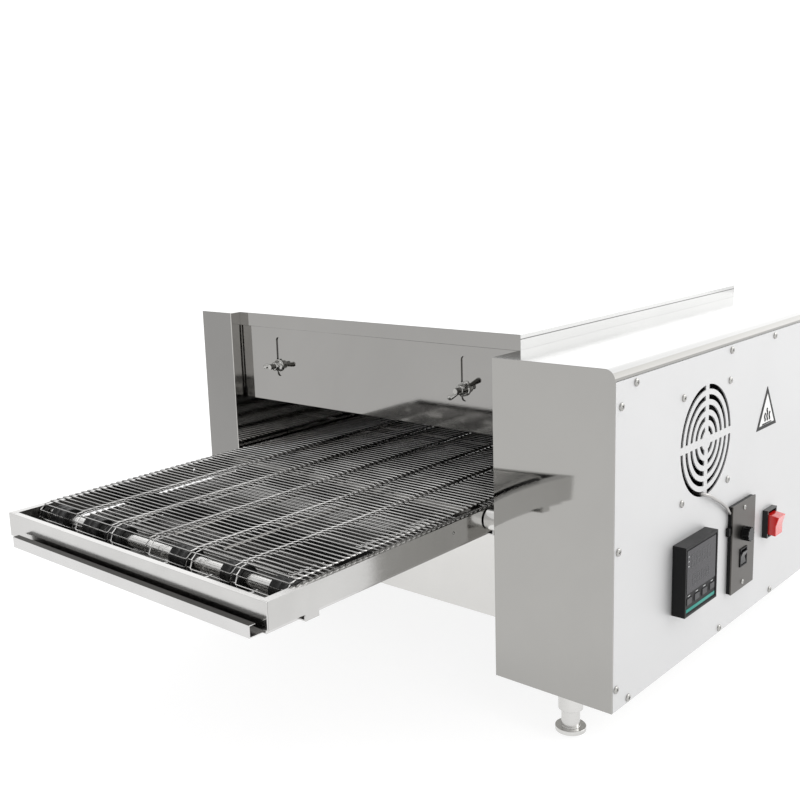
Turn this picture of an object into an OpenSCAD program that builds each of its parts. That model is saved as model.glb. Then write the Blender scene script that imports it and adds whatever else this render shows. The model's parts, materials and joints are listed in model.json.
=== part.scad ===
// Countertop conveyor pizza oven: a heated tunnel with a wire belt running
// through it, and a control cabinet on its right side.
// X runs across the tunnel (the cabinet is at +X), Y runs along the belt
// (the infeed end is at -Y), Z is up. The origin is on the surface the feet
// stand on, in the middle of the overall width and length.

/* [Body] */
// Width of the control cabinet
cabinet_w = 128; // [120:1:140]
// Height of the control cabinet above its own floor
cabinet_h = 320; // [316:1:324]
// Depth of the control cabinet, front to rear
cabinet_d = 590; // [580:1:620]
// Width of the heated tunnel between its side walls
tunnel_w = 410; // [406:1:430]
// Width of the cover on the left side
left_w = 52; // [40:1:70]
// Height of the hood above the cabinet's floor
hood_h = 335; // [332:1:345]
// How far the hood's front stands back from the cabinet's front
hood_back = 48; // [46:1:60]
// How far the left cover's front stands back from the cabinet's front
left_back = 34; // [20:1:44]
// Sheet thickness of the casings
sheet = 1.5; // [1.2:0.1:1.8]
// Radius of the cabinet's upper outer edge
edge_r = 10; // [6:1:14]

/* [Conveyor] */
// Overall length of the conveyor frame
conv_l = 1158; // [1100:2:1240]
// Height of the rails' top above the cabinet's floor
rail_top = 166.5; // [166:0.5:168]
// Height of a side rail
rail_h = 24.5; // [24:0.5:26]
// Gap from the left rail to the tunnel's nominal left side
rail_gap_l = 6; // [5:1:12]
// Gap from the right rail to the cabinet
rail_gap_r = 16; // [14:1:22]
// Radius of the rollers that carry the belt
roller_r = 12; // [11.5:0.1:12.2]
// Thickness of the wire belt
belt_t = 3.4; // [2.4:0.2:3.4]
// Height of the shafts' axes above the cabinet's floor
shaft_z = 156; // [155.5:0.5:156.5]
// Radius of the shafts
shaft_r = 6; // [5:0.5:6]

/* [Opening] */
// Height of the baffle's lower edge above the cabinet's floor
baffle_z = 230; // [224:1:236]
// Travel of the baffle upwards from rest
baffle_up = 9; // [0:1:9]
// Travel of the baffle downwards from rest
baffle_down = 30; // [10:1:30]

/* [Controls] */
// Side of the square temperature controller
ctl = 72; // [68:1:76]
// How far the temperature controller stands proud
ctl_out = 14; // [10:1:16]
// Width of the speed control's plate
plate_w = 58; // [52:1:60]
// Height of the speed control's plate
plate_h = 98; // [90:1:100]
// Radius of the speed knob
knob_r = 8; // [7:0.5:10]
// Size of the cooling fan's square frame
fan = 120; // [120:1:120]

/* [Feet] */
// Height of the cabinet's floor above the surface
foot_h = 48; // [46:1:52]
// Radius of a foot's flange
foot_flange_r = 15; // [12:1:18]

/* [Hidden] */
$fn = 48;

t = sheet;
ch = cabinet_h;
cd = cabinet_d;
cw = cabinet_w;
hh = hood_h;
ym = cd / 2;                     // middle of the oven along the belt
hy0 = hood_back;                 // hood's front plane
hy1 = cd - hood_back;
ly0 = left_back;                 // left cover's front plane
ly1 = cd - left_back;
xt = -tunnel_w;                  // left side of the tunnel
xl = -tunnel_w - left_w;         // outer left face
xi = xt + t;                     // inner face of the tunnel's left wall

knob_end = cw + 14;
co = cw - 3;                     // speed control's face parts are set out from here
far_x = cw + 2 + 14 * cos(8) + 11.4 * sin(8); // outermost point, on the mains rocker
ox = -(xl + far_x) / 2;       // shift that centres the width
oy = -ym;
oz = foot_h;

// conveyor
cx0 = xt + rail_gap_l;
cx1 = -rail_gap_r;
cy0 = ym - conv_l / 2;
cy1 = ym + conv_l / 2;
rz0 = rail_top - rail_h;
bi = roller_r + 0.3;             // inner radius of the belt's bends
bo = bi + belt_t;                // outer radius
fy = cy0 + 27.3 + bo;            // front idler's axis
ry = cy1 - 27.3 - bo;            // rear idler's axis
dy = 14.5;                       // drive shaft's axis
bx0 = cx0 + 8.5;                 // belt's left edge
bx1 = cx1 - 8.5;
cxm = (cx0 + cx1) / 2;
roll_w = 24;                     // one roller's width
roll_at = [-156, -98, -60, 41, 112, 173.5];  // rollers from the belt's middle
function roll_x(i) = cxm + roll_at[i];
rods_x = [cxm - 70, cxm, cxm + 70];
rod_r = 2.25;
rod_z = shaft_z + shaft_r + 0.35 + rod_r;
members_y = [ym - 445, ym - 165, ym, ym + 165, ym + 445];

// crumb trays
tray_x0 = cx0 + 3.5;
tray_x1 = cx1 - 5;
lip_x0 = cx0 + 23.5;
lip_x1 = cx1 - 9.3;
tray_z = rz0 - 4.7;
clips_y = [314, 50];             // clip places, inwards from the conveyor's end

// baffles
stud_x = [xt + 66, -70];
stud_z = 274;
slot_r = 4;
stud_r = 3;

// motor and chain
mx0 = 22;                        // sprocket's inner face
m_y = 62;
m_z = 100;
pitch_r = 9.28;                  // nine teeth of 6.35 mm pitch
ch_len = sqrt(pow(m_y - dy, 2) + pow(m_z - shaft_z, 2));
ch_ang = atan2(m_z - shaft_z, m_y - dy);

// side panel items
fan_y = 184.6;
fan_z = 219.4;
fan_hole = 52.5;
ctl_y = 151;
ctl_z = 93;
pl_y = 271.2;
pl_z = 86.7;
knob_z = 100;
rock_z = 73.5;
sw_y = 348;
sw_z = 91.5;
px = cw - t;                     // side panel's inner face
seam_z = ch - 11;                // cabinet cover's lip ends here
screws = [[38, ch - 17], [239, ch - 17], [cd - 239, ch - 17], [cd - 38, ch - 17],
  [11.6, 285.6], [8.5, 153.5], [6.7, 22],
  [cd - 11.6, 285.6], [cd - 8.5, 153.5], [cd - 6.7, 22],
  [29.4, 5.2], [227, 5.2], [cd - 227, 5.2], [cd - 29.4, 5.2]];
fan_screws = [[fan_y - fan_hole, fan_z - fan_hole], [fan_y + fan_hole, fan_z - fan_hole],
  [fan_y - fan_hole, fan_z + fan_hole], [fan_y + fan_hole, fan_z + fan_hole]];
btn_y = [125.5, 142.5, 159.5, 176.5];
btn_z = 72;

feet = [[xl + 26, ly0 + 27], [70, 25], [xl + 26, ly1 - 27], [70, cd - 25]];
heat_y = [ym - 180, ym - 60, ym + 60, ym + 180];
heat_up_z = 246;
heat_lo_z = 118;

steel = [0.72, 0.72, 0.71];
bright = [0.82, 0.82, 0.81];
dark = [0.1, 0.1, 0.11];

module at() { translate([ox, oy, oz]) children(); }
// box between two corners
module bx(a, b) { translate(a) cube([b[0] - a[0], b[1] - a[1], b[2] - a[2]]); }
module cylx(x0, x1, y, z, r) { translate([x0, y, z]) rotate([0, 90, 0]) cylinder(r = r, h = x1 - x0); }
module cyly(y0, y1, x, z, r) { translate([x, y0, z]) rotate([-90, 0, 0]) cylinder(r = r, h = y1 - y0); }
module cylz(z0, z1, x, y, r) { translate([x, y, z0]) cylinder(r = r, h = z1 - z0); }
// the same thing at the front, and mirrored at the rear
module rear() { translate([0, cd, 0]) mirror([0, 1, 0]) children(); }
module both() { children(); rear() children(); }

// ---------- casing ----------
module base_pan() {
  color(steel) at() union() {
    bx([xi, hy0 + t, 36], [0, hy1 - t, 36 + t]);
    bx([xi, hy0 + t, 36 + t], [xi + t, hy1 - t, 58]);
    bx([-t, hy0 + t, 36 + t], [0, hy1 - t, 58]);
  }
}

module lower_panel() {
  bx([xi, hy0, 36], [0, hy0 + t, 134]);
  bx([xi, hy0 + t, 134 - t], [0, hy0 + 14, 134]);
  // rests under the two rails
  bx([cx0 - 1, hy0 + 2, 134], [cx0 + 5, hy0 + 12, rz0]);
  bx([cx1 - 5, hy0 + 2, 134], [cx1 + 1, hy0 + 12, rz0]);
}
module lower_panels() { color(steel) at() both() lower_panel(); }

module left_cover() {
  color(steel) at() difference() {
    bx([xl, ly0, 0], [xt, ly1, hh]);
    bx([xl + t, ly0 + t, t], [xt + 1, ly1 - t, hh - t]);
    for (p = [feet[0], feet[2]]) cylz(-1, t + 1, p[0], p[1], 4.2);
  }
}

module left_inner_wall() {
  color(steel) at() difference() {
    bx([xt, ly0, 0], [xi, ly1, hh]);
    for (y = heat_y, z = [heat_up_z, heat_lo_z]) cylx(xt - 1, xi + 1, y, z, 7);
  }
}

// cabinet outline across X and Z, inset by d, open by e on the left and below
module cab_outline(d, e) {
  r = edge_r - d;
  translate([-e, -e]) square([cw - d - r + e, ch - d + e]);
  translate([-e, -e]) square([cw - d + e, ch - d - r + e]);
  translate([cw - d - r, ch - d - r]) circle(r = r);
}
module cab_prism(y0, y1, d, e) {
  translate([0, y1, 0]) rotate([90, 0, 0]) linear_extrude(y1 - y0) cab_outline(d, e);
}
module cabinet_cover() {
  color(steel) at() difference() {
    cab_prism(0, cd, 0, 0);
    cab_prism(t, cd - t, t, 1);
    bx([px - 1, t, -1], [cw + 1, cd - t, seam_z]);
    bx([61.9, cd - t - 1, 31.9], [78.1, cd + 1, 48.1]);
  }
}

module cabinet_chassis() {
  color(steel) at() difference() {
    union() {
      bx([0, t, 0], [t, cd - t, ch - t]);
      bx([t, t, 0], [px, cd - t, t]);
    }
    cylx(-1, t + 1, dy, shaft_z, 9);
    for (y = heat_y, z = [heat_up_z, heat_lo_z]) cylx(-1, t + 1, y, z, 7);
    for (p = [feet[1], feet[3]]) cylz(-1, t + 1, p[0], p[1], 4.2);
  }
}

// one ring of the fan grille, left as four slots between the spokes
module grille_ring(ro) {
  difference() {
    cylx(px - 1, cw + 1, fan_y, fan_z, ro);
    cylx(px - 2, cw + 2, fan_y, fan_z, ro - 5);
    bx([px - 2, fan_y - 3.75, fan_z - 70], [cw + 2, fan_y + 3.75, fan_z + 70]);
    bx([px - 2, fan_y - 70, fan_z - 3.75], [cw + 2, fan_y + 70, fan_z + 3.75]);
  }
}
module side_panel() {
  color([0.88, 0.88, 0.88]) at() difference() {
    bx([px, t + 0.2, 0.2], [cw, cd - t - 0.2, seam_z - 0.4]);
    for (ro = [57, 46.5, 36, 25.5, 15]) grille_ring(ro);
    for (s = screws) cylx(px - 1, cw + 1, s[0], s[1], 2);
    for (s = fan_screws) cylx(px - 1, cw + 1, s[0], s[1], 2.2);
    bx([px - 1, ctl_y - 34, ctl_z - 34], [cw + 1, ctl_y + 34, ctl_z + 34]);
    bx([px - 1, pl_y - 20.2, pl_z - 36.2], [cw + 1, pl_y + 20.2, pl_z + 36.2]);
    bx([px - 1, sw_y - 11.2, sw_z - 12.2], [cw + 1, sw_y + 11.2, sw_z + 12.2]);
  }
}

module top_lid() {
  color(bright) at() union() {
    bx([xi, hy0, hh - t], [0, hy1, hh]);
    both() bx([xi, hy0, hh - 16], [0, hy0 + t, hh - t]);
    bx([xi, hy0 + t, hh - 16], [xi + t, hy1 - t, hh - t]);
    bx([-t, hy0 + t, hh - 16], [0, hy1 - t, hh - t]);
  }
}

module upper_wall() {
  bx([xi + t, hy0 + 3.6, baffle_z + 12.5], [-t, hy0 + 4.8, hh - t]);
  for (x = stud_x) cyly(hy0 - 14, hy0 + 4, x, stud_z, stud_r);
}
module upper_walls() { color(steel) at() both() upper_wall(); }

module chamber_ceiling() {
  color(dark) at() bx([xi + t, hy0 + 4.8, 296], [-t, hy1 - 4.8, 297.2]);
}
module chamber_floor() {
  color(dark) at() bx([xi, hy0 + 14, 100], [0, hy1 - 14, 101.2]);
}

module insulation() {
  color([0.85, 0.82, 0.7]) at() {
    bx([xi + t, hy0 + 4.8, 297.2], [-t, hy1 - 4.8, hh - t]);
    bx([xi + t, hy0 + 14, 60], [-t, hy1 - 14, 100]);
    bx([xl + t + 2, ly0 + 20, 150], [xt - 18, ly1 - 20, hh - 20]);
  }
}

// one sheathed element with a ceramic sleeve at each end
module heater(y, z) {
  cylx(xt - 14, 16, y, z, 4.2);
  cylx(xt - 8, xi + 8, y, z, 6.8);
  cylx(-8, t + 8, y, z, 6.8);
}
module heating_elements() {
  color([0.8, 0.78, 0.72]) at() for (y = heat_y, z = [heat_up_z, heat_lo_z]) heater(y, z);
}

// ---------- conveyor ----------
// s = 1: left rail at the origin with its flange towards +X
module rail(x, s, reach) {
  translate([x, 0, 0]) scale([1, 1, 1]) mirror([s > 0 ? 0 : 1, 0, 0]) difference() {
    union() {
      bx([0, cy0 + t, rz0], [t, cy1 - t, rail_top]);
      bx([t, cy0 + t, rail_top - t], [8, cy1 - t, rail_top]);
      both() for (d = clips_y) {
        bx([0, cy0 + d - 8, rz0 - 6.1], [t, cy0 + d + 8, rz0]);
        bx([t, cy0 + d - 8, rz0 - 6.1], [reach, cy0 + d + 8, rz0 - 4.9]);
      }
    }
    cylx(-1, t + 1, dy, shaft_z, 7.5);
    both() cylx(-1, t + 1, -43, rz0 + 14.5, 1.6);
  }
}
module rail_left() { color(steel) at() rail(cx0, 1, 26); }
module rail_right() { color(steel) at() rail(cx1, -1, 13); }

module end_bar() {
  bx([cx0, cy0, rz0], [cx1, cy0 + t, rail_top]);
  bx([cx0 + 8, cy0 + t, rail_top - t], [cx1 - 8, cy0 + 6.5, rail_top]);
}
module end_bars() { color(bright) at() both() end_bar(); }

module cross_members() {
  color(steel) at() for (y = members_y) difference() {
    union() {
      bx([cx0 + t, y - 1, rz0 + 2.5], [cx1 - t, y + 1, rail_top - t]);
      bx([cx0 + 8.2, y - 1, rail_top - t], [cx1 - 8.2, y + 1, rod_z + 3]);
    }
    for (x = rods_x) cyly(y - 2, y + 2, x, rod_z, rod_r + 0.1);
  }
}
module belt_support_rods() {
  color(bright) at() for (x = rods_x) cyly(fy + 19, ry - 19, x, rod_z, rod_r);
}

module bush(y) {
  difference() {
    union() {
      cylx(-1, t, y, shaft_z, 7.48);
      cylx(t, t + 1.4, y, shaft_z, 8.8);
    }
    cylx(-2, t + 2, y, shaft_z, shaft_r + 0.05);
  }
}
// blind bearing on a rail's inner face, for an idler shaft
module bearing(y) {
  difference() {
    cylx(t, t + 5, y, shaft_z, 8.6);
    cylx(t + 0.4, t + 6, y, shaft_z, shaft_r + 0.05);
  }
}
module shaft_bushes() {
  color([0.2, 0.2, 0.2]) at() {
    translate([cx0, 0, 0]) bush(dy);
    translate([cx1, 0, 0]) mirror([1, 0, 0]) bush(dy);
    for (y = [fy, ry]) {
      translate([cx0, 0, 0]) bearing(y);
      translate([cx1, 0, 0]) mirror([1, 0, 0]) bearing(y);
    }
    // sleeve round the drive shaft, between the rail and the cabinet
    difference() {
      cylx(cx1 + 1, -0.2, dy, shaft_z, 11);
      cylx(cx1, 1, dy, shaft_z, shaft_r + 0.05);
    }
  }
}

// side view of the belt loop, grown by r
module loop2d(r) {
  translate([fy, shaft_z - r]) square([ry - fy, 2 * r]);
  translate([fy, shaft_z]) circle(r = r);
  translate([ry, shaft_z]) circle(r = r);
}
module conveyor_belt() {
  color([0.45, 0.45, 0.45]) at()
    translate([bx0, 0, 0]) rotate([90, 0, 90]) linear_extrude(bx1 - bx0)
      difference() { loop2d(bo); loop2d(bi); }
}

module idler_shaft(y) { cylx(cx0 + t + 0.6, cx1 - t - 0.6, y, shaft_z, shaft_r); }
module idler_wheels(y) {
  for (i = [0 : len(roll_at) - 1]) difference() {
    cylx(roll_x(i) - roll_w / 2, roll_x(i) + roll_w / 2, y, shaft_z, roller_r);
    cylx(roll_x(i) - roll_w, roll_x(i) + roll_w, y, shaft_z, shaft_r + 0.02);
  }
}
module front_idler_shaft() { color(bright) at() idler_shaft(fy); }
module front_idler_wheels() { color(dark) at() idler_wheels(fy); }
module rear_idler_shaft() { color(bright) at() idler_shaft(ry); }
module rear_idler_wheels() { color(dark) at() idler_wheels(ry); }

// toothed disc across X
module sprocket(x0, x1, y, z, rr, rt, n, w) {
  translate([x0, y, z]) rotate([90, 0, 90]) {
    cylinder(r = rr, h = x1 - x0);
    for (i = [0 : n - 1]) rotate([0, 0, i * 360 / n]) linear_extrude(x1 - x0)
      polygon([[rr - 1, -w], [rt, -w / 2.4], [rt, w / 2.4], [rr - 1, w]]);
  }
}
module drive_shaft() {
  color(bright) at() union() {
    cylx(cx0 - 1.5, mx0 + 8, dy, shaft_z, shaft_r);
    for (x = [roll_x(0), roll_x(2), roll_x(3), roll_x(5)])
      sprocket(x - 3, x + 3, dy, shaft_z, 9.6, roller_r - 0.1, 12, 1.9);
    sprocket(mx0, mx0 + 3, dy, shaft_z, 7.6, 10.6, 9, 1.9);
  }
}
module motor_sprocket() {
  color(steel) at() union() {
    sprocket(mx0, mx0 + 3, m_y, m_z, 7.6, 10.6, 9, 1.9);
    cylx(mx0 - 2, mx0 + 20, m_y, m_z, 4);
  }
}
module chain2d(r) {
  circle(r = r);
  translate([0, -r]) square([ch_len, 2 * r]);
  translate([ch_len, 0]) circle(r = r);
}
module drive_chain() {
  color([0.3, 0.3, 0.3]) at()
    translate([mx0 - 1, dy, shaft_z]) rotate([90, 0, 90]) rotate([0, 0, ch_ang])
      linear_extrude(5) difference() { chain2d(12.4); chain2d(10.9); }
}
module gear_motor() {
  color([0.35, 0.36, 0.38]) at() difference() {
    union() {
      bx([37, m_y - 24, m_z - 24], [66, m_y + 24, m_z + 24]);
      cylx(66, 110, m_y, m_z, 19);
      cylx(110, 114, m_y, m_z, 8);
    }
    cylx(36, 45, m_y, m_z, 4.05);
  }
}
module motor_bracket() {
  color(steel) at() difference() {
    union() {
      bx([34, m_y - 26, m_z - 26], [37, m_y + 29, m_z + 26]);
      bx([t, m_y + 26, m_z - 26], [34, m_y + 29, m_z + 26]);
      bx([t, m_y + 29, m_z - 26], [t + 3, m_y + 44, m_z + 26]);
    }
    cylx(33, 38, m_y, m_z, 6);
  }
}

// ---------- crumb trays ----------
module tray() {
  y0 = cy0 - 11;
  y1 = hy0 - 4;
  bx([tray_x0, cy0 + 3, tray_z], [tray_x1, y1, tray_z + 1]);
  bx([tray_x0, cy0 + 3, tray_z + 1], [tray_x0 + 1, y1, tray_z + 2.8]);
  bx([tray_x1 - 1, cy0 + 3, tray_z + 1], [tray_x1, y1, tray_z + 2.8]);
  bx([tray_x0 + 1, y1 - 1, tray_z + 1], [tray_x1 - 1, y1, tray_z + 2.8]);
  // narrower pull lip with its top folded back inwards
  bx([lip_x0, y0, tray_z], [lip_x1, cy0 + 3, tray_z + 1]);
  bx([lip_x0, y0, tray_z + 1], [lip_x1, y0 + 1, tray_z + 11]);
  bx([lip_x0, y0 + 1, tray_z + 10], [lip_x1, y0 + 7, tray_z + 11]);
}
module front_crumb_tray() { color(bright) at() tray(); }
module rear_crumb_tray() { color(bright) at() rear() tray(); }

// ---------- baffles ----------
module baffle() {
  difference() {
    union() {
      bx([xi + 4.5, hy0 + 2, baffle_z], [-2.5, hy0 + 3.2, hh - 13]);
      bx([xi + 4.5, hy0 + 3.2, baffle_z], [-2.5, hy0 + 9, baffle_z + 1.2]);
    }
    for (x = stud_x) {
      cyly(hy0, hy0 + 5, x, stud_z - baffle_up, slot_r);
      cyly(hy0, hy0 + 5, x, stud_z + baffle_down, slot_r);
      bx([x - slot_r, hy0, stud_z - baffle_up], [x + slot_r, hy0 + 5, stud_z + baffle_down]);
    }
  }
}
module front_baffle() { color(steel) at() baffle(); }
module rear_baffle() { color(steel) at() rear() baffle(); }

module wing_nut(x, turn) {
  translate([x, 0, stud_z]) difference() {
    union() {
      cyly(hy0 + 0.4, hy0 + 1.8, 0, 0, 7.5);
      cyly(hy0 - 6.5, hy0 + 0.4, 0, 0, 5);
      rotate([0, -turn, 0]) for (s = [-1, 1]) hull() {
        translate([s * 4.5 - 0.5, hy0 - 2.6, -1.1]) cube([1, 4, 2.2], center = false);
        translate([s * 13.4, hy0 - 8.2, 0]) rotate([90, 0, 0]) cylinder(r = 2.9, h = 2, center = true, $fn = 16);
      }
    }
    cyly(hy0 - 20, hy0 + 5, 0, 0, stud_r + 0.05);
  }
}
module wing_nut_front_left() { color(bright) at() wing_nut(stud_x[0], 4); }
module wing_nut_front_right() { color(bright) at() wing_nut(stud_x[1], 38); }
module wing_nut_rear_left() { color(bright) at() rear() wing_nut(stud_x[0], 24); }
module wing_nut_rear_right() { color(bright) at() rear() wing_nut(stud_x[1], 66); }

// ---------- fan ----------
module fan_housing() {
  color(dark) at() difference() {
    union() {
      difference() {
        bx([px - 38, fan_y - fan / 2, fan_z - fan / 2], [px, fan_y + fan / 2, fan_z + fan / 2]);
        cylx(px - 39, px + 1, fan_y, fan_z, 57.5);
      }
      for (a = [45, 135, 225, 315]) translate([px - 38, fan_y, fan_z]) rotate([a, 0, 0])
        translate([0, -4, 15]) cube([4, 8, 44]);
      cylx(px - 38, px - 33, fan_y, fan_z, 22);
      cylx(px - 33, px - 8, fan_y, fan_z, 3);
    }
    for (s = fan_screws) cylx(px - 39, px + 1, s[0], s[1], 2.3);
  }
}
module fan_rotor() {
  color([0.14, 0.14, 0.15]) at() difference() {
    union() {
      cylx(px - 32.5, px - 6, fan_y, fan_z, 22);
      for (i = [0 : 6]) translate([px - 18.5, fan_y, fan_z]) rotate([i * 360 / 7, 0, 0])
        rotate([0, 0, 38]) translate([-13, -1, 19]) cube([26, 2, 35]);
    }
    cylx(px - 33, px - 7.5, fan_y, fan_z, 3.05);
  }
}

// ---------- controls ----------
module temp_controller() {
  h = ctl / 2;
  color(dark) at() difference() {
    union() {
      bx([cw, ctl_y - h, ctl_z - h], [cw + ctl_out, ctl_y + h, ctl_z + h]);
      bx([66, ctl_y - 33.8, ctl_z - 33.8], [cw, ctl_y + 33.8, ctl_z + 33.8]);
    }
    bx([cw + ctl_out - 1, ctl_y - h + 2.5, ctl_z - h + 2.5], [cw + ctl_out + 1, ctl_y + h - 2.5, ctl_z + h - 2.5]);
    for (y = btn_y) bx([cw + ctl_out - 4, y - 5.5, btn_z - 3.5], [cw + ctl_out, y + 5.5, btn_z + 3.5]);
  }
}
module button(y) {
  bx([cw + ctl_out - 2.6, y - 5.2, btn_z - 3.2], [cw + ctl_out - 0.2, y + 5.2, btn_z + 3.2]);
}
module controller_button_1() { color([0.2, 0.2, 0.2]) at() button(btn_y[0]); }
module controller_button_2() { color([0.2, 0.2, 0.2]) at() button(btn_y[1]); }
module controller_button_3() { color([0.2, 0.2, 0.2]) at() button(btn_y[2]); }
module controller_button_4() { color([0.2, 0.2, 0.2]) at() button(btn_y[3]); }

module speed_control_body() {
  w = plate_w / 2;
  h = plate_h / 2;
  color(dark) at() difference() {
    union() {
      bx([cw, pl_y - w + 0.5, pl_z - h + 0.5], [co + 7, pl_y + w - 0.5, pl_z + h - 0.5]);
      bx([92, pl_y - 20, pl_z - 36], [cw, pl_y + 20, pl_z + 36]);
      // small rounded boss on the box's left side
      hull() for (z = [-3, 3]) translate([cw + 2.1, pl_y - w - 5, knob_z + 8.7 + z]) rotate([-90, 0, 0]) cylinder(r = 1.9, h = 6, $fn = 32);
      // collar of the small rocker, through the plate
      bx([co + 7, pl_y - 8.6, rock_z - 10.1], [co + 9.6, pl_y + 8.6, rock_z + 10.1]);
    }
    cylx(cw - 12, co + 8, pl_y, knob_z, 3.05);
    bx([co + 2, pl_y - 7.1, rock_z - 8.7], [co + 11, pl_y + 7.1, rock_z + 8.7]);
    for (z = [pl_z - 42, pl_z + 42]) cylx(cw + 0.3, co + 8, pl_y, z, 1.6);
  }
}
module speed_plate() {
  w = plate_w / 2;
  h = plate_h / 2;
  color([0.55, 0.53, 0.5]) at() difference() {
    bx([co + 7, pl_y - w, pl_z - h], [co + 8.5, pl_y + w, pl_z + h]);
    cylx(co + 6, co + 10, pl_y, knob_z, 4.5);
    bx([co + 6, pl_y - 8.8, rock_z - 10.3], [co + 10, pl_y + 8.8, rock_z + 10.3]);
    for (z = [pl_z - 42, pl_z + 42]) cylx(co + 6, co + 10, pl_y, z, 1.8);
  }
}
module speed_knob() {
  color(dark) at() union() {
    cylx(cw - 10, co + 9, pl_y, knob_z, 3);
    cylx(co + 9, co + 11, pl_y, knob_z, knob_r);
    cylx(co + 11, knob_end, pl_y, knob_z, knob_r - 1);
    for (i = [0 : 11]) translate([co + 11, pl_y, knob_z]) rotate([i * 30, 0, 0])
      translate([0, -0.8, knob_r - 2]) cube([knob_end - co - 11, 1.6, 1.9]);
  }
}
// rocker pressed at one end: profile across X and Z, turned about its pivot
module rocker(x, y, z, w, h, out) {
  translate([x, y, z]) rotate([0, 8, 0]) rotate([90, 0, 0]) translate([0, 0, -w])
    linear_extrude(2 * w) polygon([[0, -h], [out, -h], [out - 1.6, 0], [out, h], [0, h]]);
}
module run_rocker() { color([0.05, 0.05, 0.05]) at() rocker(co + 5, pl_y, rock_z, 6.8, 7.3, 5.4); }

module main_switch_housing() {
  color(dark) at() difference() {
    union() {
      bx([cw, sw_y - 13, sw_z - 16], [cw + 6, sw_y + 13, sw_z + 16]);
      bx([98, sw_y - 11, sw_z - 12], [cw, sw_y + 11, sw_z + 12]);
    }
    bx([cw - 1, sw_y - 10.3, sw_z - 14.4], [cw + 7, sw_y + 10.3, sw_z + 14.4]);
    bx([cw - 3, sw_y - 10.3, sw_z - 11.8], [cw + 7, sw_y + 10.3, sw_z + 11.8]);
  }
}
module main_rocker() { color([0.75, 0.05, 0.05]) at() rocker(cw + 2, sw_y, sw_z, 9.9, 11.4, 14); }

module screw(y, z, r) {
  cylx(cw, cw + 1.2, y, z, r);
  cylx(cw + 1.2, cw + 2.1, y, z, r * 0.72);
  cylx(cw - 6, cw, y, z, 1.9);
}
module panel_screws() {
  color(bright) at() {
    for (s = screws) screw(s[0], s[1], 3.8);
    for (s = fan_screws) screw(s[0], s[1], 3.8);
    for (z = [pl_z - 42, pl_z + 42]) {
      cylx(co + 8.5, co + 9.7, pl_y, z, 2.8);
      cylx(cw + 0.5, co + 8.5, pl_y, z, 1.5);
    }
  }
}

// ---------- feet ----------
module foot_sleeves() {
  color(bright) at() for (p = feet) difference() {
    union() {
      cylz(-22, 0, p[0], p[1], 12);
      cylz(0, t, p[0], p[1], 4.1);
    }
    cylz(-23, -4, p[0], p[1], 9.05);
  }
}
module foot(p) {
  cylz(-foot_h + 8, -9, p[0], p[1], 9);
  cylz(-foot_h + 3.5, -foot_h + 8, p[0], p[1], foot_flange_r);
  cylz(-foot_h, -foot_h + 3.5, p[0], p[1], 7.2);
}
module foot_front_left() { color(bright) at() foot(feet[0]); }
module foot_front_right() { color(bright) at() foot(feet[1]); }
module foot_rear_left() { color(bright) at() foot(feet[2]); }
module foot_rear_right() { color(bright) at() foot(feet[3]); }

// ---------- small items ----------
// lead that comes out of the grille's lowest slot and enters the speed control
lead_pts = [[119, 176.5, 166.2], [124, 176.5, 166], [129, 177, 165.6], [132, 180, 164.6],
  [133.2, 186, 162], [133, 194, 158], [132.6, 203, 153.5], [132.2, 212, 149],
  [132, 221, 144], [132, 229, 138.5], [131.2, 234.5, 133.6], [130.5, 238.6, 130.9], [130.2, 241.5, 129]];
function vsub(a, b) = [for (i = [0 : 2]) a[i] - b[i]];
function unit(v) = v / norm(v);
function lead_dir(i) = unit(vsub(lead_pts[min(i + 1, len(lead_pts) - 1)], lead_pts[max(i - 1, 0)]));
function side(d) = unit(cross(d, [0.3, 0.1, 1]));
module sweep(r, n) {
  m = len(lead_pts);
  pts = [for (i = [0 : m - 1]) let (d = lead_dir(i), u = side(d), v = cross(d, u))
    for (k = [0 : n - 1]) let (a = 360 * k / n) lead_pts[i] + r * cos(a) * u + r * sin(a) * v];
  quads = [for (i = [0 : m - 2], k = [0 : n - 1])
    [i * n + k, i * n + (k + 1) % n, (i + 1) * n + (k + 1) % n, (i + 1) * n + k]];
  ends = [[for (k = [0 : n - 1]) n - 1 - k], [for (k = [0 : n - 1]) (m - 1) * n + k]];
  polyhedron(points = pts, faces = concat(quads, ends), convexity = 4);
}
module sensor_lead() { color([0.6, 0.6, 0.6]) at() sweep(1.9, 10); }

module cable_gland() {
  color(dark) at() difference() {
    union() {
      cyly(cd - 8, cd, 70, 40, 8);
      translate([70, cd, 40]) rotate([-90, 0, 0]) cylinder(r = 13, h = 6, $fn = 6);
      cyly(cd + 6, cd + 16, 70, 40, 9.5);
    }
    cyly(cd - 9, cd + 17, 70, 40, 4.5);
  }
}
module warning_badge() {
  color([0.1, 0.1, 0.1]) at() translate([cw, 336, 224]) rotate([90, 0, 90])
    linear_extrude(0.4) polygon([[-27, -21], [27, -21], [0, 25]]);
}

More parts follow.
